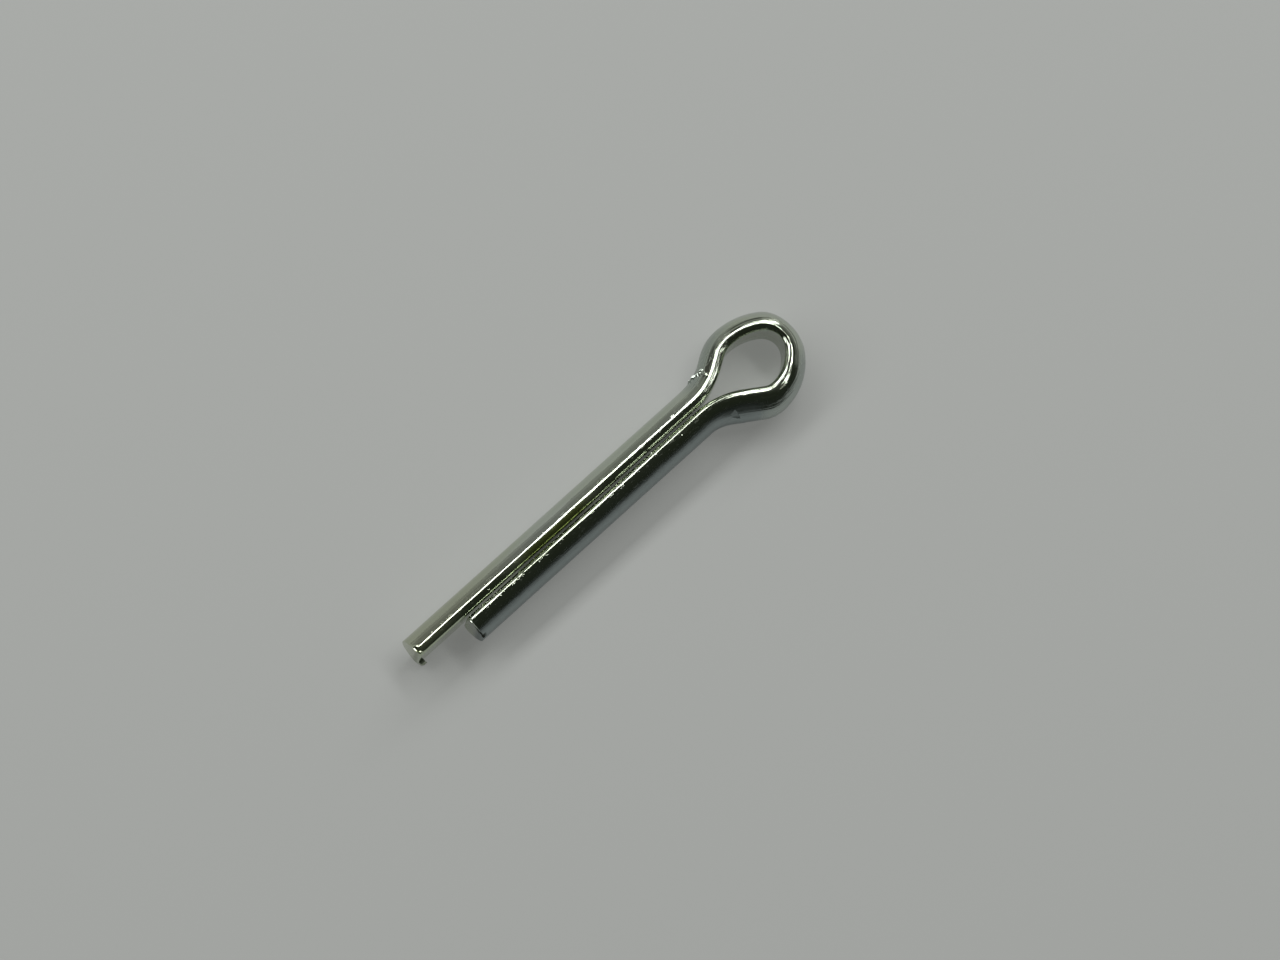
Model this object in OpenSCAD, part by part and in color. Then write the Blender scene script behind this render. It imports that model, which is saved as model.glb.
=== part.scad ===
// Split cotter pin, bent from one length of half-round wire.
// The pin lies on its side: the eye's plane is horizontal.  The origin is on
// the middle line of the shank at the shoulders of the eye, +X runs along
// the legs to their ends, and +Z is up.  The long leg lies on the -Y side.

/* [Wire] */
// Diameter over both legs, closed flat to flat
shank_d = 3.7; // [3.2:0.1:4.6]
// Gap that stays open between the two flats
slit = 0.16; // [0.04:0.01:0.3]
// Rounding of the wire's two long edges
edge_r = 0.45; // [0.25:0.05:0.6]

/* [Legs] */
// Length of the short leg, from the shoulders of the eye to its end
short_leg = 24.3; // [14:0.1:60]
// How much further the long leg reaches
leg_step = 4.2; // [1:0.1:8]
// Slant of the sheared ends, in degrees off square
shear_slant = 4; // [0:1:12]
// Radius of the edge that the shear rolls over
end_roll_r = 0.4; // [0.1:0.05:0.8]

/* [Eye] */
// Reach of the eye past its shoulders
eye_len = 7.3; // [6.8:0.1:8.5]
// Half width of the hole on the long leg's side
long_half = 1.78; // [1.6:0.01:2]
// Half width of the hole on the short leg's side
short_half = 2.14; // [1.9:0.01:2.4]
// Where the long leg's side of the hole is widest, past the shoulders
long_widest = 2.9; // [2.6:0.1:3.4]
// Where the short leg's side of the hole is widest, past the shoulders
short_widest = 3.1; // [2.8:0.1:3.6]
// Angle to the shank at which the hole's flank opens, on the long leg's side
long_flank = 32; // [28:0.5:35]
// Angle to the shank at which the hole's flank opens, on the short leg's side
short_flank = 33.5; // [30:0.5:37]
// Radius of the bend between flank and side, on the long leg's side
long_shoulder_r = 2; // [1.5:0.05:2.6]
// Radius of the bend between flank and side, on the short leg's side
short_shoulder_r = 1; // [0.8:0.05:2]
// Radius of the hole under the crown
crown_r = 1.36; // [1.1:0.01:1.45]
// Sideways lean of the crown to the short leg's side
crown_lean = 0.07; // [0:0.01:0.3]

/* [Wall of the eye] */
// Wall of the wire at the crown, which the bend has drawn thin
crown_wall = 1.46; // [1.3:0.02:1.8]
// Wall of the wire on the long leg's side
long_wall = 1.66; // [1.5:0.02:2]
// Wall of the wire on the short leg's side, where the bend has heaped it up
short_wall = 2.12; // [1.7:0.02:2.2]
// Angle round the hole, from legs to crown, where the long leg's wall thins
long_thins_at = 125; // [30:5:150]
// Angle round the hole, from legs to crown, where the short leg's wall thins
short_thins_at = 40; // [30:5:150]

/* [Neck] */
// Where the two wires start to part, in front of the shoulders
neck_x = 2.2; // [2:0.1:2.8]

/* [Hidden] */
$fn = 96;
zinc = [0.72, 0.74, 0.70];
shank_r = shank_d / 2;
long_leg = short_leg + leg_step;
cut = 3 * shank_r;                 // size of blocks that only cut away

// The bent wire is finer than the legs by "inset" all round, and each leg
// sleeves its first bit, so that no two of their faces lie on each other
inset = 0.02;
sleeve = 0.2;
bent_r = shank_r - inset;
bent_edge_r = edge_r - inset;
bent_flat = slit / 2 + inset;

// Steps of the eye's surface, along the wire and round its section
neck_steps = 8;
shoulder_steps = 6;
side_steps = 8;
crown_steps = 9;
edge_steps = 4;
round_steps = 14;

function ease(t) = t * t * (3 - 2 * t);
function mix(a, b, t) = a + (b - a) * t;
function after_first(list) = [for (i = [1 : len(list) - 1]) list[i]];

// --- section of the wire ----------------------------------------------------
// The flat lies "wall" behind the outermost point of the round side, and both
// long edges are rounded, tangent to the flat and to the round side.  x runs
// outwards from the centre of the round side.
function edge_centre(r, edge, wall) =
    let (x = r - wall + edge) [x, sqrt(pow(r - edge, 2) - x * x)];

function half_section(wall) = let (
    c = edge_centre(bent_r, bent_edge_r, wall),
    turn = atan2(c[1], c[0])
) concat(
    [for (i = [0 : round_steps / 2])
        let (a = turn * 2 * i / round_steps) bent_r * [cos(a), sin(a)]],
    [for (i = [1 : edge_steps])
        let (a = mix(turn, 180, i / edge_steps)) c + bent_edge_r * [cos(a), sin(a)]]);

function section(wall) = let (
    half = half_section(wall)
) concat(half, [for (i = [len(half) - 1 : -1 : 1]) [half[i][0], -half[i][1]]]);

// --- path of the wire round the hole, seen from above -----------------------
// One side of the hole runs from the neck to the crown: a bend away from the
// middle line, a straight flank, the shoulder, the side and the crown, each
// tangent to the next.  The neck's and the side's radii follow from that.
// Each station holds its point on the flat, the way out into the wire and
// the wall there.  y counts away from the middle line.
function bend(centre, r, from, to, steps) =
    [for (i = [0 : steps])
        let (a = mix(from, to, i / steps), ray = [cos(a), sin(a)])
        [centre + r * ray, sign(from) * ray, a]];

// The wall grows from the leg's to the side's along the neck, and thins to
// the crown's from the given angle on.  The crown's middle is at 180 degrees.
function neck_wall(a, flank, side_wall) =
    mix(bent_r - bent_flat, side_wall, ease((-90 - a) / flank));
function bow_wall(a, side_wall, thins_at) =
    mix(side_wall, crown_wall, ease(max(a - thins_at, 0) / (180 - thins_at)));

function hole_side(half, widest, flank, shoulder_r, side_wall, thins_at, lean) = let (
    side = [-widest, half],
    shoulder_c = side - [0, shoulder_r],
    neck = [neck_x, bent_flat],
    flank_out = [sin(flank), cos(flank)],
    neck_r = ((neck - shoulder_c) * flank_out - shoulder_r) / (1 - cos(flank)),
    neck_c = neck + [0, neck_r],
    crown_c = [crown_wall - eye_len + crown_r, lean],
    d = side - crown_c,
    side_r = (d * d - crown_r * crown_r) / (2 * (d[1] - crown_r)),
    side_c = side - [0, side_r],
    turn = atan2(crown_c[1] - side_c[1], crown_c[0] - side_c[0])
) concat(
    [for (s = bend(neck_c, neck_r, -90, -90 - flank, neck_steps))
        [s[0], s[1], neck_wall(s[2], flank, side_wall)]],
    [for (s = concat(
            bend(shoulder_c, shoulder_r, 90 - flank, 90, shoulder_steps),
            after_first(bend(side_c, side_r, 90, turn, side_steps)),
            after_first(bend(crown_c, crown_r, turn, 180, crown_steps))))
        [s[0], s[1], bow_wall(s[2], side_wall, thins_at)]]);

function mirrored(path) =
    [for (s = path) [[s[0][0], -s[0][1]], [s[1][0], -s[1][1]], s[2]]];
function reversed(path) = [for (i = [len(path) - 1 : -1 : 0]) path[i]];

long_side = hole_side(long_half, long_widest, long_flank, long_shoulder_r,
    long_wall, long_thins_at, -crown_lean);
short_side = hole_side(short_half, short_widest, short_flank, short_shoulder_r,
    short_wall, short_thins_at, crown_lean);
wire_path = concat(mirrored(long_side), after_first(reversed(short_side)));

// --- solids -----------------------------------------------------------------
// One section of the bent wire, stood across its path
function ring(station) = let (
    out = station[1],
    wall = station[2],
    centre = station[0] + (wall - bent_r) * out
) [for (p = section(wall)) [centre[0] + p[0] * out[0], centre[1] + p[0] * out[1], p[1]]];

module eye() {
    rings = [for (station = wire_path) ring(station)];
    count = len(rings[0]);
    last = len(rings) - 1;
    polyhedron(
        points = [for (r = rings) for (p = r) p],
        faces = concat(
            [[for (j = [0 : count - 1]) j]],
            [for (i = [0 : last - 1]) for (j = [0 : count - 1])
                let (a = i * count + j, b = i * count + (j + 1) % count)
                each [[a, b + count, b], [a, a + count, b + count]]],
            [[for (j = [count - 1 : -1 : 0]) last * count + j]]),
        convexity = 6);
}

// Half-round section of a leg, its flat half a slit from the middle line
module leg_section() {
    c = edge_centre(shank_r, edge_r, shank_r - slit / 2);
    past = 3 * c;                  // well outside the wire
    difference() {
        circle(shank_r);
        translate([slit / 2 - cut, -cut / 2]) square([cut, cut]);
        for (s = [-1, 1]) scale([1, s]) difference() {
            polygon([[0, c[1]], c, past, [0, past[1]]]);
            translate(c) circle(edge_r);
        }
    }
}

// A leg on the +Y side, from the neck to its sheared end
module leg(length) {
    from = neck_x - sleeve;
    difference() {
        translate([from, 0, 0]) rotate([90, 0, 90])
            linear_extrude(length + shank_r - from) leg_section();
        translate([length, 0, 0]) rotate([90, -shear_slant, 0])
            linear_extrude(cut, center = true) beyond_end();
    }
}

// What the shear takes away, seen from the side: all that lies past the end,
// and the edge that rolls over as the blade comes down
module beyond_end() {
    translate([0, -cut]) square([cut, 2 * cut]);
    translate([-end_roll_r, shank_r - end_roll_r]) difference() {
        square(cut);
        circle(end_roll_r);
    }
}

module cotter_pin() {
    color(zinc) {
        eye();
        leg(short_leg);
        mirror([0, 1, 0]) leg(long_leg);
    }
}

cotter_pin();
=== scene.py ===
# %% [markdown]
# # A split cotter pin
#
# The pin is one length of half-round steel wire, folded round a pear-shaped
# former until its two flats lie against each other, and then zinc plated.
# It lies on its side, and the camera looks down on it.
#
# Everything is in metres, in the frame of the solid model: +X runs along the
# legs to their ends, +Y points to the short leg's side, and +Z is up.

import math

import bmesh
import bpy
from mathutils import Matrix, Vector


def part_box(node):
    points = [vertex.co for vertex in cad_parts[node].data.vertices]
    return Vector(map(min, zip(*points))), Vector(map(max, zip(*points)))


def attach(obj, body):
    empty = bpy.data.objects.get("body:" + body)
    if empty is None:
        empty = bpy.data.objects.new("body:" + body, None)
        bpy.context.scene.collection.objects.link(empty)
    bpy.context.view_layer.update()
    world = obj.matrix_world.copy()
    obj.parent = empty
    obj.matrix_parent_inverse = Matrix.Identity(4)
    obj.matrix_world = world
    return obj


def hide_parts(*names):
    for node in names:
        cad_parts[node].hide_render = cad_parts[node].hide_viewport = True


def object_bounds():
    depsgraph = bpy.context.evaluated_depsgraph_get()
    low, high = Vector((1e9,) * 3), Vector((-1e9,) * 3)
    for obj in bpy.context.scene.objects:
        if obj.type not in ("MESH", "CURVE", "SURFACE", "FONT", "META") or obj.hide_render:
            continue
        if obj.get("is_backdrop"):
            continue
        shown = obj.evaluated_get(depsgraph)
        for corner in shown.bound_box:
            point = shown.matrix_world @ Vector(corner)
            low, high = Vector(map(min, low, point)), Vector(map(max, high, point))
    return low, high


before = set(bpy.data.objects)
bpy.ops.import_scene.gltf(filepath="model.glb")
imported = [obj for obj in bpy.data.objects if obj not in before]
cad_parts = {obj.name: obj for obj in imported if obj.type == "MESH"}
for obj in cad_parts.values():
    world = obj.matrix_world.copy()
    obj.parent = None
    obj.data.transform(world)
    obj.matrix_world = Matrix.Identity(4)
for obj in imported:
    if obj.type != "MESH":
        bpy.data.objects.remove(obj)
solid_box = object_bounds()

mm = 0.001


def in_mm(points):
    """Points in round millimetres, for printing."""
    return [[round(v / mm, 2) for v in point] for point in points]


print("solid model, mm:", in_mm(solid_box))

# %% [markdown]
# ## Camera
#
# A short lens close by would spread the pin's two legs like a fan. A long
# lens from about 22 cm away, tipped a little, keeps them almost parallel.

# %% Camera
camera_data = bpy.data.cameras.new("camera")
camera_data.lens = 87.75
camera_data.sensor_width = 36.0
camera_data.clip_start = 10 * mm
camera = bpy.data.objects.new("camera", camera_data)
camera.location = (48.36 * mm, 20.40 * mm, 216.06 * mm)
camera.rotation_euler = [math.radians(a) for a in (10.850, -4.231, 137.084)]
bpy.context.scene.collection.objects.link(camera)
bpy.context.scene.camera = camera
print("camera", round(camera.location.length / mm), "mm from the eye's shoulders")

# %% [markdown]
# ## Helpers for edit mode
#
# The wire is shaped with the operators that the Edit menu offers. They act
# on whatever is selected, so each step first picks its vertices, edges or
# faces by their place, which is the middle of their points.

# %% Helpers for edit mode
def start_piece(name):
    """Gives the new primitive its name and opens it for editing."""
    piece = bpy.context.object
    piece.name = piece.data.name = name
    bpy.ops.object.mode_set(mode="EDIT")
    return piece


def at(element):
    """The middle of a vertex, an edge or a face."""
    if hasattr(element, "co"):
        return element.co
    return sum((v.co for v in element.verts), Vector()) / len(element.verts)


def pick(piece, kind, test):
    """Selects the verts, edges or faces that pass a test, and counts them."""
    mode = {"verts": "VERT", "edges": "EDGE", "faces": "FACE"}[kind]
    bpy.ops.mesh.select_mode(type=mode)
    bpy.ops.mesh.select_all(action="DESELECT")
    mesh = bmesh.from_edit_mesh(piece.data)
    found = [element for element in getattr(mesh, kind) if test(element)]
    for element in found:
        element.select_set(True)
    mesh.select_flush_mode()
    bmesh.update_edit_mesh(piece.data)
    return len(found)


# %% [markdown]
# ## The former
#
# The wire is bent along a flat path of straights and arcs, each tangent to
# the next: out along the long leg, round the pear of the eye and back along
# the short leg. The path is the line that the wire's flat side follows. It
# could be typed in as points, but a moving point that goes straight or turns
# about a centre, as the pin of a bending machine does, needs only the radii
# and angles of the real bends. A small plane, merged to its middle, is that
# point.

# %% Sizes of the bends
slit = 0.16 * mm                     # stays open between the two flats
neck_x = 2.2 * mm
eye_length = 7.3 * mm
crown_wall = 1.46 * mm
crown_radius = 1.36 * mm
crown_lean = 0.07 * mm               # sideways, to the short leg's side
long_leg_end = 28.5 * mm
short_leg_end = 24.3 * mm


def bends_of_side(half, widest, flank, shoulder_radius, lean):
    """Steps from the neck to the crown: the kind, a length or radius, and degrees."""
    turn_out = math.radians(flank)
    side = Vector((-widest, half))
    shoulder = side - Vector((0, shoulder_radius))
    neck = Vector((neck_x, slit / 2))
    out = Vector((math.sin(turn_out), math.cos(turn_out)))
    neck_radius = ((neck - shoulder).dot(out) - shoulder_radius) / (1 - math.cos(turn_out))
    apart = (neck + Vector((0, neck_radius)) - shoulder).length
    straight = math.sqrt(apart ** 2 - (neck_radius + shoulder_radius) ** 2)
    crown = Vector((crown_wall - eye_length + crown_radius, lean))
    over = side - crown
    side_radius = (over.length ** 2 - crown_radius ** 2) / (2 * (over.y - crown_radius))
    centre = side - Vector((0, side_radius))
    side_turn = math.degrees(math.atan2(crown.y - centre.y, crown.x - centre.x)) - 90
    return [
        ("out", neck_radius, flank),
        ("straight", straight, 0),
        ("in", shoulder_radius, flank),
        ("in", side_radius, side_turn),
        ("in", crown_radius, 90 - side_turn),
    ]


long_side = bends_of_side(
    half=1.78 * mm, widest=2.9 * mm, flank=32, shoulder_radius=2.0 * mm, lean=-crown_lean
)
short_side = bends_of_side(
    half=2.14 * mm, widest=3.1 * mm, flank=33.5, shoulder_radius=1.0 * mm, lean=crown_lean
)
path_steps = (
    [("straight", long_leg_end - neck_x, 0)]
    + long_side
    + short_side[::-1]
    + [("straight", short_leg_end - neck_x, 0)]
)
print("bends:", [(kind, round(size / mm, 2), round(a, 1)) for kind, size, a in path_steps])

# %% Draw the path
def facing(angle):
    return Vector((math.cos(angle), math.sin(angle), 0))


def left_of(way):
    return Vector((-way.y, way.x, 0))


bpy.ops.object.select_all(action="DESELECT")
bpy.ops.mesh.primitive_plane_add(size=mm, location=(long_leg_end, -slit / 2, 0))
bpy.ops.object.transform_apply(location=True)
former = start_piece("former")
bpy.ops.mesh.merge(type="CENTER")

place = Vector((long_leg_end, -slit / 2, 0))
marks, headings = [0.0], [180]       # length and degrees where each step starts
for kind, size, degrees in path_steps:
    heading = math.radians(headings[-1])
    ahead = facing(heading)
    if kind == "straight":
        bpy.ops.mesh.extrude_region_move(TRANSFORM_OT_translate={"value": ahead * size})
        place = place + ahead * size
        headings.append(headings[-1])
        marks.append(marks[-1] + size)
    else:
        turn = math.radians(degrees) * (1 if kind == "out" else -1)
        centre = place + left_of(ahead) * math.copysign(size, turn)
        bpy.ops.mesh.spin(
            steps=max(6, int(degrees)), angle=-turn, center=centre, axis=(0, 0, 1)
        )
        place = centre - left_of(facing(heading + turn)) * math.copysign(size, turn)
        headings.append(headings[-1] + math.degrees(turn))
        marks.append(marks[-1] + size * abs(turn))
path_length = marks[-1]
bpy.ops.object.mode_set(mode="OBJECT")
bpy.ops.object.convert(target="CURVE")
former = bpy.context.object
former.data.dimensions = "2D"
start = former.data.splines[0].points[0].co[:3]
print("path of", round(path_length / mm, 2), "mm from and to", in_mm((start, place)))

# %% [markdown]
# ## The wire
#
# The wire starts straight. A round bar is the primitive, and a bisect takes
# away the half beyond the flat. Its long edges could be bevelled, but a
# bevel that is wider than the facets beside it tangles. So the bar is made
# thinner by the edge's radius, its sharp edges get a bevel of a hair's
# width, and Shrink/Fatten pushes the whole skin out along its normals. Each
# hair-wide bevel opens into a true round.

# %% Half-round bar
shank_radius = 1.85 * mm
edge_radius = 0.45 * mm
leg_wall = shank_radius - slit / 2
spare = 1.0 * mm                     # waste at each end, for the shear
exact = 1e-8                         # the operators' own 0.1 mm is far too coarse
hair = 0.004 * mm
core_flat = slit / 2 + edge_radius   # from the round side's centre to the core's flat

bpy.ops.object.select_all(action="DESELECT")
bpy.ops.mesh.primitive_cylinder_add(
    vertices=72, radius=shank_radius - edge_radius, depth=path_length + 2 * spare,
    end_fill_type="NOTHING", location=(path_length / 2, 0, 0),
    rotation=(0, math.pi / 2, 0),
)
bpy.ops.object.transform_apply(location=True, rotation=True)
wire = start_piece("cotter_pin_wire")
bpy.ops.mesh.select_all(action="SELECT")
bpy.ops.mesh.bisect(
    plane_co=(0, core_flat, 0), plane_no=(0, 1, 0), clear_inner=True, threshold=exact
)


def on_core_edge(edge):
    p = at(edge)
    return abs(p.y - core_flat) < exact and abs(p.z) > edge_radius


pick(wire, "edges", on_core_edge)
bpy.ops.mesh.bridge_edge_loops()
pick(wire, "edges", on_core_edge)
bpy.ops.mesh.bevel(offset=hair, segments=12, affect="EDGES")
bpy.ops.mesh.select_all(action="SELECT")
bpy.ops.mesh.normals_make_consistent(inside=False)
bpy.ops.transform.shrink_fatten(value=edge_radius)
bpy.ops.transform.translate(value=(0, -slit / 2, 0))
print("faces of the half-round bar:", len(bmesh.from_edit_mesh(wire.data).faces))

# %% [markdown]
# ## Sheared ends
#
# A shear leaves a slightly slanted face. The bar could be made to length,
# but its ends would be square. So it starts too long, and a slanted bisect
# trims and closes each end. Where the blade comes in, it rolls the edge
# over, so the upper edge of each end gets a bevel and the lower one stays
# sharp.

# %% Sheared ends
shear_slant = math.radians(4)
roll = 0.14 * mm
upper = 0.2 * mm                     # only the rim above this height rolls over
sin_slant, cos_slant = math.sin(shear_slant), math.cos(shear_slant)
for end, way in ((0, -1), (path_length, 1)):
    bpy.ops.mesh.select_all(action="SELECT")
    bpy.ops.mesh.bisect(
        plane_co=(end, 0, 0), plane_no=(way * cos_slant, 0, sin_slant),
        clear_outer=True, use_fill=True, threshold=exact,
    )

    def on_upper_rim(edge):
        beyond = [(v.co.x - end) * way * cos_slant + v.co.z * sin_slant for v in edge.verts]
        return max(abs(b) for b in beyond) < 100 * exact and at(edge).z > upper

    print("edges of the rolled rim:", pick(wire, "edges", on_upper_rim))
    bpy.ops.mesh.bevel(offset=roll, segments=4, affect="EDGES")

# %% [markdown]
# ## Rings across the wire
#
# The wire can only bend where it has rings of vertices. The legs get one
# every third of a millimetre, enough for the faint waves of the metal, and
# the stretch that becomes the eye gets them twice as close. Subdivide makes
# up to 100 cuts at a time, so a long stretch is cut twice over. The flat is
# one wide face, so it is first cut lengthwise.

# %% Rings across the wire
neck_from, neck_to = marks[1], marks[-2]
margin = 0.5 * mm                    # keeps the cuts clear of the rolled rims
leg_gap, eye_gap = 0.33 * mm, 0.16 * mm
for z in (-1.0, -0.5, 0.0, 0.5, 1.0):
    pick(wire, "faces", lambda face: abs(at(face).y) < 0.001 * mm)
    bpy.ops.mesh.bisect(plane_co=(0, 0, z * mm), plane_no=(0, 0, 1), threshold=exact)
for x in (margin, neck_from, neck_to, path_length - margin):
    bpy.ops.mesh.select_all(action="SELECT")
    bpy.ops.mesh.bisect(plane_co=(x, 0, 0), plane_no=(1, 0, 0), threshold=exact)


def cut_rings(start, stop, gap):
    """Cuts a stretch into rings about a gap apart, and counts the pieces."""
    count = (stop - start) / gap
    first = round(math.sqrt(count))

    def runs_along(edge):
        a, b = (v.co.x for v in edge.verts)
        return abs(a - b) > hair and start < at(edge).x < stop

    for pieces in (first, round(count / first)):
        pick(wire, "edges", runs_along)
        bpy.ops.mesh.subdivide(number_cuts=pieces - 1)
    return first * round(count / first)


rings = [
    cut_rings(margin, neck_from, leg_gap),
    cut_rings(neck_from, neck_to, eye_gap),
    cut_rings(neck_to, path_length - margin, leg_gap),
]
print("rings on the long leg, the eye and the short leg:", rings)

# %% [markdown]
# ## Thinned crown
#
# Bending stretches the outside of the wire. The crown comes out thin and a
# little lower, while the metal heaps up on the short leg's side, where the
# machine lets go. Each ring is scaled about the path, so the hole keeps its
# outline and only the outside moves.

# %% Thinned crown
long_wall, short_wall = 1.66 * mm, 2.12 * mm
long_thins_at, short_thins_at = 125, 40   # degrees round the hole; the crown is at 180
crown_at = marks[1 + len(long_side)]


def ease(t):
    return t * t * (3 - 2 * t)


def mix(a, b, t):
    return a + (b - a) * t


def turned_by(x):
    """The kind of step at a length along the path, and the heading there."""
    i = max(k for k in range(len(path_steps)) if marks[k] <= x or k == 0)
    t = (x - marks[i]) / (marks[i + 1] - marks[i])
    return path_steps[i], mix(headings[i], headings[i + 1], t)


def wall_at(x):
    """The wire's thickness, from its flat to its round side."""
    (kind, _, degrees), heading = turned_by(x)
    on_long_side = x < crown_at
    side_wall = long_wall if on_long_side else short_wall
    away = heading - 180 if on_long_side else -heading
    if kind == "out":
        return mix(leg_wall, side_wall, ease(away / degrees))
    if x < neck_from or x > neck_to:
        return leg_wall
    round_hole = 90 - away
    thins_at = long_thins_at if on_long_side else short_thins_at
    return mix(side_wall, crown_wall, ease(max(round_hole - thins_at, 0) / (180 - thins_at)))


def height_at(wall):
    """Half the wire's height, where its two edges are roundest."""
    centre = shank_radius - wall + edge_radius
    return math.sqrt((shank_radius - edge_radius) ** 2 - centre ** 2) + edge_radius


step = (neck_to - neck_from) / rings[1]
for i in range(1, rings[1]):
    x = neck_from + i * step
    wall = wall_at(x)
    thin, low = wall / leg_wall, height_at(wall) / height_at(leg_wall)
    pick(wire, "verts", lambda v: abs(v.co.x - x) < step / 4)
    bpy.ops.transform.resize(value=(1, thin, low), center_override=(x, 0, 0))
print("wall at the crown, mm:", round(wall_at(crown_at) / mm, 2))

# %% [markdown]
# ## Bend the wire
#
# Each ring could be turned into its place by hand, but a Curve modifier lays
# the whole straight wire along the former at once. Before that, each point
# writes down where it lay on the straight wire. The material reads this
# later, so that the marks of the drawing die follow the bend.

# %% Bend the wire
bpy.ops.object.mode_set(mode="OBJECT")
drawn = wire.data.attributes.new("drawn", "FLOAT_VECTOR", "POINT")
for vertex, note in zip(wire.data.vertices, drawn.data):
    note.vector = vertex.co

bpy.ops.object.select_all(action="DESELECT")
bpy.context.view_layer.objects.active = wire
wire.select_set(True)
bend = wire.modifiers.new("bend", "CURVE")
bend.object = former
bend.deform_axis = "POS_X"
bpy.ops.object.modifier_apply(modifier="bend")
bpy.data.objects.remove(former)
box = [[end(v.co[i] for v in wire.data.vertices) for i in range(3)] for end in (min, max)]
print("bent wire, mm:", in_mm(box))

# %% [markdown]
# ## Marks of the tools
#
# The jaws that held the legs while the eye was formed have bitten into both
# shoulders. On the long leg they pushed up a ragged lip with a hollow behind
# it, and on the short leg they left one small flat. Such marks could be
# painted with a bump, but a lip must catch light and stand out from every
# side. So the skin is cut finer round each mark. Shrink/Fatten lifts it in
# narrowing steps, and a scale of zero across a plane presses it flat. The
# places and reaches of marks this small are given in millimetres.

# %% Lip and hollow of the jaw on the long leg
bpy.ops.object.mode_set(mode="EDIT")


def along(line, reach):
    """A test for pick: within reach of a line of points, all in millimetres."""
    points = [Vector(p) for p in line]

    def test(element):
        p = at(element) / mm
        for a, b in zip(points, points[1:]):
            t = min(max((p - a).dot(b - a) / (b - a).length_squared, 0), 1)
            if (p - a - t * (b - a)).length < reach:
                return True
        return False

    return test


def flatten(test, middle, normal):
    """Presses the points that pass a test onto a plane through a middle."""
    middle, normal = Vector(middle) * mm, Vector(normal).normalized()
    across = normal.orthogonal().normalized()
    count = pick(wire, "verts", test)
    bpy.ops.transform.resize(
        value=(1, 1, 0), orient_type="LOCAL",
        orient_matrix=Matrix((across, normal.cross(across), normal)).transposed(),
        orient_matrix_type="LOCAL", center_override=middle,
    )
    mesh = bmesh.from_edit_mesh(wire.data)
    off = [abs((v.co - middle).dot(normal)) for v in mesh.verts if v.select]
    print("points pressed flat:", count, "off the plane by", max(off) / mm)


lip = [
    (1.05, -1.95, 0.30), (0.68, -1.98, 0.52), (0.46, -1.95, 0.74),
    (0.38, -1.77, 1.08), (0.03, -1.90, 1.08), (-0.09, -1.66, 1.38), (-0.05, -1.46, 1.50),
]
hollow = [(-0.22, -1.56, 1.49), (-0.45, -1.74, 1.44), (-0.95, -1.90, 1.54)]
print("faces cut finer round the lip:", pick(wire, "faces", along(lip + hollow, 0.32)))
bpy.ops.mesh.subdivide(number_cuts=3)
flatten(along(hollow[:2], 0.19), hollow[0], (0.20, -0.43, 0.88))
flatten(along(hollow[1:], 0.08), hollow[1], (0.28, -0.42, 0.86))
lip_lift = 0.035 * mm
for reach in (0.13, 0.07):
    pick(wire, "verts", along(lip, reach))
    bpy.ops.transform.shrink_fatten(value=lip_lift)

# %% Bright teeth on the lip
facing_up = Vector((0.02, -0.315, 0.949))
tooth_rise = 0.07
teeth = (
    ([(1.0, -1.955, 0.34), (0.8, -1.965, 0.45)], 0.06),
    (lip[1:3], 0.11),
    ([lip[3], (0.34, -1.86, 0.96)], 0.085),
    ([(0.04, -1.90, 1.08), (-0.08, -1.84, 1.20)], 0.10),
    (lip[5:], 0.075),
)
for tooth, reach in teeth:
    middle = (Vector(tooth[0]) + Vector(tooth[1])) / 2 + facing_up * tooth_rise
    flatten(along(tooth, reach), middle, facing_up)

# %% Flat of the jaw on the short leg
corners = [Vector(p) for p in ((0.20, 1.74, 1.50), (0.78, 1.93, 1.10), (0.20, 2.50, 0.80))]
flat_normal = Vector((0.30, 0.72, 0.62)).normalized()
pressed_in = 0.02
flat_middle = sum(corners, Vector()) / 3 - pressed_in * flat_normal


def on_flat(element):
    """A test for pick: over the corners' triangle, on the near side of the wire."""
    p = at(element) / mm
    inside = [(b - a).cross(p - a).dot(flat_normal) > 0
              for a, b in zip(corners, corners[1:] + corners[:1])]
    return all(inside) and abs((p - flat_middle).dot(flat_normal)) < 0.3


print("faces cut finer under the flat:",
      pick(wire, "faces", along([corners[0], flat_middle, corners[2]], 0.5)))
bpy.ops.mesh.subdivide(number_cuts=2)
flatten(on_flat, flat_middle, flat_normal)

# %% [markdown]
# ## Burr of the shear
#
# Where the shear broke through the long leg, it tore out a thin fin at the
# lower corner. A separate sliver could stand there, but the real fin has
# grown out of the wire. So three bisects cut a strip of the skin free at the
# very end, and three extrudes draw it out, each bent and thinner.

# %% Burr of the shear
strip_x, strip_top, strip_foot = 28.15, -0.8, -1.25
for point, normal in (
    ((strip_x, 0, 0), (1, 0, 0)), ((0, 0, strip_top), (0, 0, 1)), ((0, 0, strip_foot), (0, 0, 1)),
):
    pick(wire, "faces", lambda face: at(face).x > 27.8 * mm and at(face).y > -0.5 * mm)
    bpy.ops.mesh.bisect(plane_co=Vector(point) * mm, plane_no=normal, threshold=exact)


def at_corner(face):
    p = at(face) / mm
    on_strip = p.x > strip_x and p.y > -0.15 and -1.3 < p.z < strip_top
    return on_strip and abs(face.normal.x) < 0.5


print("faces that grow into the burr:", pick(wire, "faces", at_corner))
for growth, taper in (
    ((-0.02, 0.14, -0.05), 0.95), ((-0.05, 0.13, -0.08), 0.85), ((-0.10, 0.07, -0.12), 0.6),
):
    bpy.ops.mesh.extrude_region_move(TRANSFORM_OT_translate={"value": Vector(growth) * mm})
    bpy.ops.transform.resize(value=(taper, 1, taper))

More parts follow.
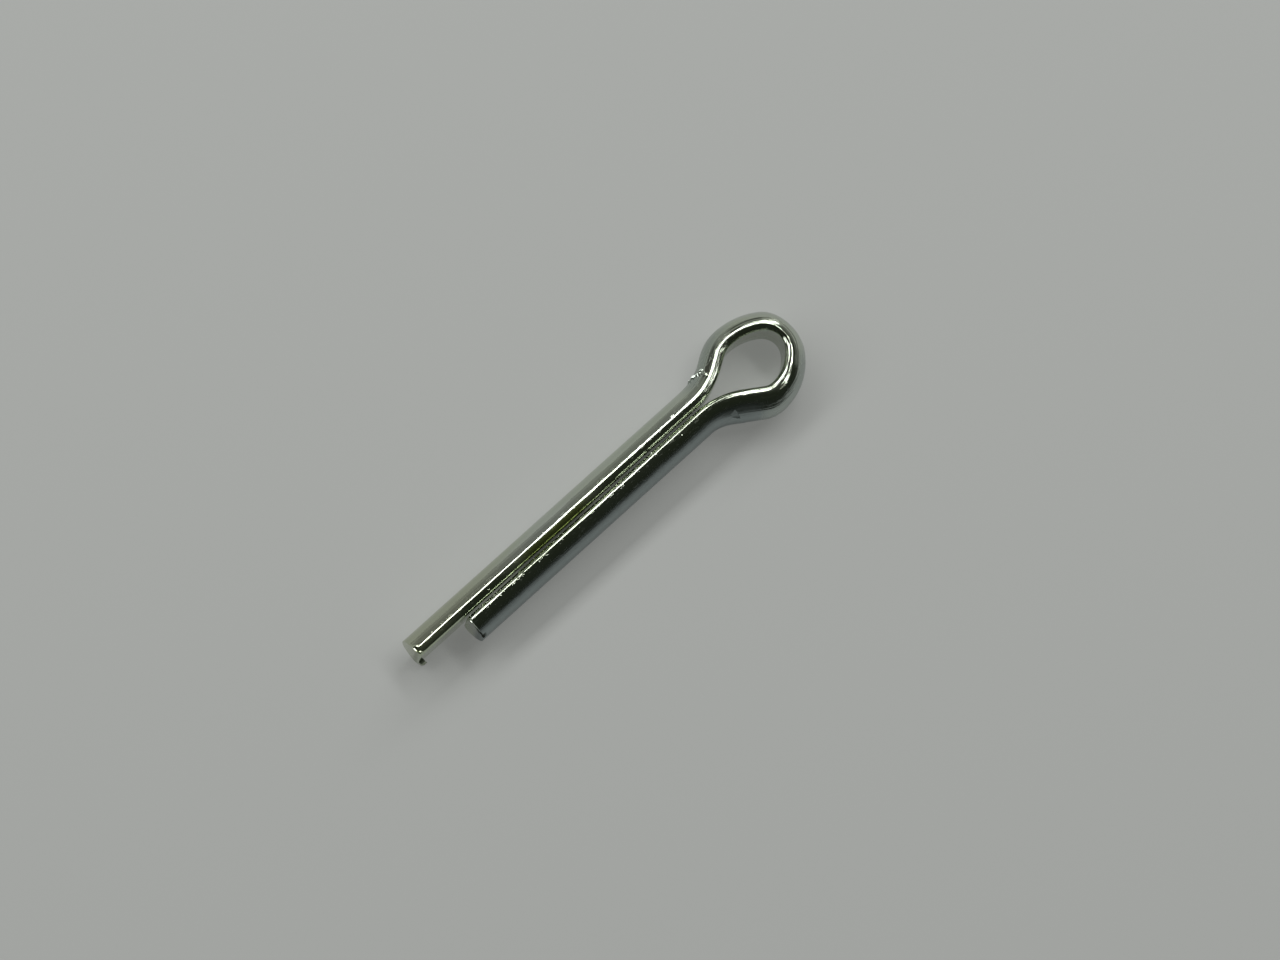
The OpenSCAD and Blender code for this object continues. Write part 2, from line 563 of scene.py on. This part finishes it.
# %% [markdown]
# ## Beads and pressed corners
#
# Zinc gathers in a few small beads on the legs, and the shear's clamp has
# pressed the top corner of each end a little flat. Both are too small for
# pieces of their own. A bead could be a sphere sunk into the wire, but a few
# points of the skin, moved onto a small plane just above it, keep the skin
# whole and catch the light as the bead's top does.

# %% Beads of zinc
bead_length, bead_reach, bead_rise = Vector((0.06, 0, 0)), 0.06, 0.03
beads = ((21.78, -0.36, 1.70), (3.82, -0.84, 1.65), (4.27, 0.66, 1.73), (6.72, 0.17, 1.55))
for bead in map(Vector, beads):
    crest = [bead, bead + bead_length]
    pick(wire, "faces", along(crest, 0.2))
    bpy.ops.mesh.subdivide(number_cuts=4)
    outwards = Vector((0, bead.y, bead.z)).normalized()
    flatten(along(crest, bead_reach), bead + bead_rise * outwards, facing_up)

# %% Corners that the shear pressed flat
long_corner = [(28.1, -0.60, 1.72), (28.35, -0.64, 1.66)]
print("faces cut finer at the corner:", pick(wire, "faces", along(long_corner, 0.3)))
bpy.ops.mesh.subdivide(number_cuts=2)
for crease, reach, normal in (
    ([(28.22, -0.85, 1.64), (28.22, -0.42, 1.76)], 0.10, (0.25, 0.05, 0.96)),
    ([(28.38, -0.78, 1.55), (28.37, -0.62, 1.60)], 0.10, facing_up),
    ([(28.20, -0.36, 1.69), (28.14, -0.30, 1.69)], 0.07, facing_up),
    ([(24.17, 0.40, 1.62), (24.21, 0.62, 1.48)], 0.13, facing_up),
    ([(23.93, 0.66, 1.70), (23.80, 0.60, 1.73)], 0.08, facing_up),
):
    a, b = (Vector(p) for p in crease)
    flatten(along(crease, reach), (a + b) / 2, normal)

# %% Smooth all but the sharp edges
bpy.ops.object.mode_set(mode="OBJECT")
bpy.ops.object.shade_smooth_by_angle(angle=math.radians(35))
print("points of the wire:", len(wire.data.vertices))

# %% [markdown]
# ## Painted shade and bare steel
#
# The hollow behind the jaw's lip, three short lines between its teeth and a
# line along the rim of the short leg's end are painted almost black and dull:
# painted shade in these recesses and edges. On the burr, where the shear tore
# the zinc, the bare steel is a little darker and duller. A mask could be
# painted on an unwrapped map, but each point can hold it as an attribute: 1
# at the painted shade, and less on the burr.

# %% Painted shade, and the burr's bare steel
burr_wear = 0.3
# Painted shade: the hollow, three short lines between the lip's teeth and a line along the short
# leg's end rim are made almost black.
painted_shade_lines = [along(tear, reach) for tear, reach in (
    (hollow[:2], 0.19), (hollow[1:], 0.12),
    ([(0.39, -1.94, 1.00), (0.50, -1.83, 1.04)], 0.06),
    ([(0.26, -1.82, 1.15), (0.37, -1.65, 1.22)], 0.06),
    ([(0.19, -1.70, 1.23), (0.10, -1.55, 1.40)], 0.04),
    ([(24.22, 0.85, 1.45), (24.21, 1.20, 1.25), (24.17, 1.54, 0.98), (24.14, 1.80, 0.40)], 0.075),
)]
shade_and_wear = wire.data.attributes.new("shade_and_wear", "FLOAT", "POINT")
for vertex, darkening in zip(wire.data.vertices, shade_and_wear.data):
    on_burr = vertex.co.x > 28 * mm and vertex.co.y > -0.05 * mm
    painted_dark = any(in_painted_shade(vertex) for in_painted_shade in painted_shade_lines)
    darkening.value = 1.0 if painted_dark else burr_wear if on_burr else 0.0
print("points where the plating is torn:", sum(darkening.value > 0 for darkening in shade_and_wear.data))

# %% [markdown]
# ## Material nodes
#
# A finish is a tree of shader nodes. They could be added and linked one by
# one, but a small class round a node's output lets a plain sum stand for its
# Math nodes, and one method adds every other node.

# %% Material nodes
class Value:
    """A node's output. Arithmetic on it adds Math nodes."""

    def __init__(self, finish, socket):
        self.finish, self.socket = finish, socket

    def _math(self, operation, *values):
        inputs = dict(enumerate(values))
        return self.finish.node("ShaderNodeMath", {"operation": operation}, inputs)

    def __add__(self, other):
        return self._math("ADD", self, other)

    def __sub__(self, other):
        return self._math("SUBTRACT", self, other)

    def __rsub__(self, other):
        return self._math("SUBTRACT", other, self)

    def __mul__(self, other):
        return self._math("MULTIPLY", self, other)

    __radd__, __rmul__ = __add__, __mul__


class Finish:
    """A new material, with one way to add a node to it."""

    def __init__(self, name):
        self.material = bpy.data.materials.new(name)
        self.material.use_nodes = True
        self.tree = self.material.node_tree
        self.tree.nodes.clear()

    def node(self, kind, settings=None, inputs=None, output=0):
        """Adds a node: first its settings, then its sockets' values or links."""
        made = self.tree.nodes.new(kind)
        for name, value in (settings or {}).items():
            setattr(made, name, value)
        for name, value in (inputs or {}).items():
            if isinstance(value, Value):
                self.tree.links.new(value.socket, made.inputs[name])
            else:
                made.inputs[name].default_value = value
        return Value(self, made.outputs[output]) if made.outputs else None

    def surface(self, **inputs):
        """Finishes the material with one Principled shader."""
        shader = self.node("ShaderNodeBsdfPrincipled", None, inputs)
        self.node("ShaderNodeOutputMaterial", None, {"Surface": shader})
        print(self.material.name, "has", len(self.tree.nodes), "nodes")


# %% [markdown]
# ## Bright zinc
#
# The wire is drawn steel under bright zinc with a thin clear passivation:
# nearly a mirror, with a faint green and yellow tint that wanders, and fine
# lines along the wire from the drawing die. Everything that follows the
# wire reads the points of the straight wire: X is the length along it from
# the long leg's end, and Y the depth from its flat. A mirror shows the
# smallest slope, so streaks of noise, stretched along the wire, make a bump.
# Masks of length and depth say where it grows: grooves in the eye and along
# the short leg's inner edge, furrows in front of the eye, and pits towards
# the short leg's end.

# %% Streaks and masks along the wire
zinc = Finish("bright_zinc")
per_mm = 1000                        # the straight wire's points are in metres
drawn_at = zinc.node("ShaderNodeAttribute", {"attribute_name": "drawn"}, output="Vector")
length_at, depth_at = (
    zinc.node("ShaderNodeSeparateXYZ", None, {"Vector": drawn_at}, output=axis)
    for axis in "XY"
)


def streaks(long, wide, detail=2.0):
    """Noise from 0 to 1, in streaks of a length and a width in millimetres."""
    scaled = zinc.node(
        "ShaderNodeVectorMath", {"operation": "MULTIPLY"},
        {0: drawn_at, 1: (per_mm / long, per_mm / wide, per_mm / wide)},
    )
    return zinc.node(
        "ShaderNodeTexNoise", None, {"Vector": scaled, "Scale": 1.0, "Detail": detail}
    )


def rising(value, low, high):
    """A mask that rises smoothly from 0 at low to 1 at high."""
    return zinc.node(
        "ShaderNodeMapRange", {"interpolation_type": "SMOOTHSTEP"},
        {"Value": value, "From Min": low, "From Max": high},
    )


# %% Lines and waves in the zinc
in_eye = rising(length_at, 24 * mm, 29 * mm) * (1 - rising(length_at, 41 * mm, 46 * mm))
at_slit = 1 - rising(depth_at, 0.25 * mm, 0.6 * mm)
before_eye = rising(length_at, 16 * mm, 20 * mm) * (1 - rising(length_at, 26 * mm, 31 * mm))
furrowed = (before_eye + 0.3 * in_eye) * (1 - rising(depth_at, 0.38 * mm, 0.54 * mm))
pitted = rising(length_at, 49 * mm, 54 * mm) * at_slit
grooved = in_eye + 0.5 * at_slit * rising(length_at, 41 * mm, 46 * mm)
stained = (
    rising(length_at, 7.5 * mm, 11 * mm) * (1 - rising(length_at, 15 * mm, 18 * mm))
    + 0.5 * (1 - rising(length_at, 2 * mm, 5 * mm)) * rising(depth_at, 0.1 * mm, 0.3 * mm)
) * (1 - rising(depth_at, 0.45 * mm, 0.62 * mm))
waves = streaks(2.0, 0.6)
lines = streaks(14, 0.26)
ridges = streaks(9, 0.13)
scratches = streaks(3, 0.06)
specks = rising(streaks(0.4, 0.14), 0.61, 0.67)
furrows = streaks(25, 0.12, 0)
# Each factor is a height in millimetres, because the bump's distance is 1 mm
height = (
    waves * 0.016 + lines * (0.010 + 0.022 * grooved) + ridges * (0.003 + 0.018 * grooved)
    + (furrows - 0.5) * 0.085 * furrowed + scratches * 0.0015 + specks * (0.001 + 0.016 * pitted)
)
bump = zinc.node(
    "ShaderNodeBump", None, {"Strength": 1.0, "Distance": 1 * mm, "Height": height}
)
print("nodes of the zinc's relief:", len(zinc.tree.nodes))

# %% [markdown]
# ### Colour of the passivation, and painted shade
#
# The clear passivation shows as a thin yellow-green film. It gathers in the
# slit, wanders in strength along the wire and is yellower at the long leg's
# end. The outer flanks of the shoulders and of the short leg are rougher, and
# their colour is painted a darker grey: a painted shade. The hollow behind the
# jaw's lip is painted almost black, a painted shade in the recess. On the
# inner side of the long leg the film is thick enough to dull the mirror to
# olive. One colour all over would look like paint, so six masks mix seven
# tones.

# %% Bright zinc
def tinted(below, above, amount):
    """One colour over another. A Mix node numbers its colour sockets 6, 7 and 2."""
    return zinc.node(
        "ShaderNodeMix", {"data_type": "RGBA"}, {0: amount, 6: below, 7: above}, output=2
    )


film = streaks(9, 1.5)
shade_and_wear_at = zinc.node("ShaderNodeAttribute", {"attribute_name": "shade_and_wear"}, output="Fac")
# Painted shade: the outer flanks of the shoulders and the short leg get a darker grey colour, and
# more roughness.
dull_shaded_flanks = rising(depth_at, 0.7 * mm, 1.4 * mm) * (
    0.55 * rising(length_at, 26 * mm, 28 * mm) * (1 - rising(length_at, 31 * mm, 33 * mm))
    + 0.6 * rising(length_at, 36 * mm, 37.5 * mm) + 0.7 * rising(length_at, 39.5 * mm, 41.5 * mm)
)
yellowed = 1 - rising(length_at, 4 * mm, 13 * mm)
pale, greenish = (0.56, 0.60, 0.53, 1), (0.53, 0.58, 0.47, 1)
straw, moss = (0.51, 0.54, 0.42, 1), (0.53, 0.59, 0.45, 1)
olive, painted_shade_grey, shade_and_bare_steel = (0.14, 0.17, 0.05, 1), (0.31, 0.35, 0.35, 1), (0.05, 0.055, 0.04, 1)
color = tinted(pale, greenish, rising(film, 0.35, 0.65))
color = tinted(color, straw, yellowed)
color = tinted(color, moss, at_slit * rising(film, 0.1, 0.6) * (1 - in_eye))
color = tinted(color, olive, stained)
# Painted shade: darker grey on the outer flanks.
color = tinted(color, painted_shade_grey, dull_shaded_flanks)
# Painted shade in the hollow and along those lines; darker bare steel on the burr.
color = tinted(color, shade_and_bare_steel, shade_and_wear_at)
roughness = (
    0.09 + waves * 0.05 + dull_shaded_flanks * 0.18 + specks * 0.1 + stained * 0.1 + shade_and_wear_at * 0.7
)
zinc.surface(**{
    "Base Color": color, "Metallic": 1.0 - 0.16 * stained - 0.5 * shade_and_wear_at,
    "Roughness": roughness, "Normal": bump,
})
wire.data.materials.append(zinc.material)

# %% [markdown]
# ## Place in the model
#
# The pin has no joint, so the wire rides on the model's only body. It stands
# for the plain solid, which has the same bends without the marks.

# %% Place in the model
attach(wire, "root")
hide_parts("cotter_pin")
print("the wire stands for a solid of, mm:", in_mm(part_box("cotter_pin")))

# %% [markdown]
# ## Floor
#
# A plain pale floor touches the wire from below. More light on it would
# bleach the pin too, so a faint glow, seen by the camera and in mirrors
# alone, gives it the rest of its brightness and leaves the pin's shadow.

# %% Floor
floor_z = min(v.co.z for v in wire.data.vertices)
bpy.ops.object.select_all(action="DESELECT")
bpy.ops.mesh.primitive_plane_add(size=3, location=(0, 0, floor_z))
bpy.ops.object.transform_apply(location=True)
floor = bpy.context.object
floor.name = floor.data.name = "floor"
board = Finish("pale_board")
seen = board.node("ShaderNodeLightPath", output="Is Camera Ray")
mirrored = board.node("ShaderNodeLightPath", output="Is Glossy Ray")
through = board.node("ShaderNodeLightPath", output="Is Transmission Ray")
board.surface(**{
    "Base Color": (0.245, 0.252, 0.244, 1), "Roughness": 0.9,
    "Emission Color": (0.16, 0.164, 0.157, 1),
    "Emission Strength": seen + mirrored + through,
})
floor.data.materials.append(board.material)
floor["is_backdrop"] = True
print("floor", round(-floor_z / mm, 2), "mm below the pin's middle plane")

# %% [markdown]
# ## Light
#
# A mirror shows its surroundings, so a round bright wire is drawn by what it
# reflects. One big soft lamp would wash it out. Here a long strip lamp
# beside the pin runs as one line down each leg, and two strips across the
# eye draw a line round its crown and shoulder. Three weak lamps, low beside
# the pin, above that, and past the eye, give the flanks their grey, and the
# dim room leaves the rest dark.

# %% Light
def strip_lamp(name, place, tilt, turn, long, wide, brightness):
    """A soft lamp, long along its own X axis, as bright to look at in any size."""
    bpy.ops.object.light_add(
        type="AREA", location=place, rotation=(math.radians(tilt), 0, turn)
    )
    lamp = bpy.context.object
    lamp.name = lamp.data.name = name
    lamp.data.shape = "RECTANGLE"
    lamp.data.size, lamp.data.size_y = long, wide
    lamp.data.energy = brightness * math.pi * long * wide
    print(name, "of", round(lamp.data.energy, 2), "W")


along_x, along_y = 0, math.pi / 2
strip_lamp("lamp_along_the_legs", (-0.35, -0.334, 0.37), 42, along_x, 2.3, 0.105, 6.5)
strip_lamp("low_lamp", (-0.35, -0.6, 0.08), 90, along_x, 2.3, 0.16, 0.26)
strip_lamp("dim_lamp", (-0.09, -0.6, 0.285), 90, along_x, 0.24, 0.25, 0.19)
strip_lamp("lamp_across_the_eye", (-0.25, -0.07, 0.40), -32, along_y, 0.36, 0.065, 12)
strip_lamp("lamp_on_the_shoulder", (-0.25, 0.25, 0.40), -32, along_y, 0.12, 0.028, 10)
strip_lamp("end_lamp", (-0.6, -0.07, 0.14), -90, along_y, 1.05, 0.28, 0.17)

world = bpy.data.worlds.new("dim_room")
bpy.context.scene.world = world
world.use_nodes = True
world.node_tree.nodes["Background"].inputs["Color"].default_value = (0.019, 0.0225, 0.016, 1)
bpy.context.scene.view_settings.view_transform = "Standard"

# %% Close
dressed_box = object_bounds()
print("dressed model, mm:", in_mm(dressed_box))
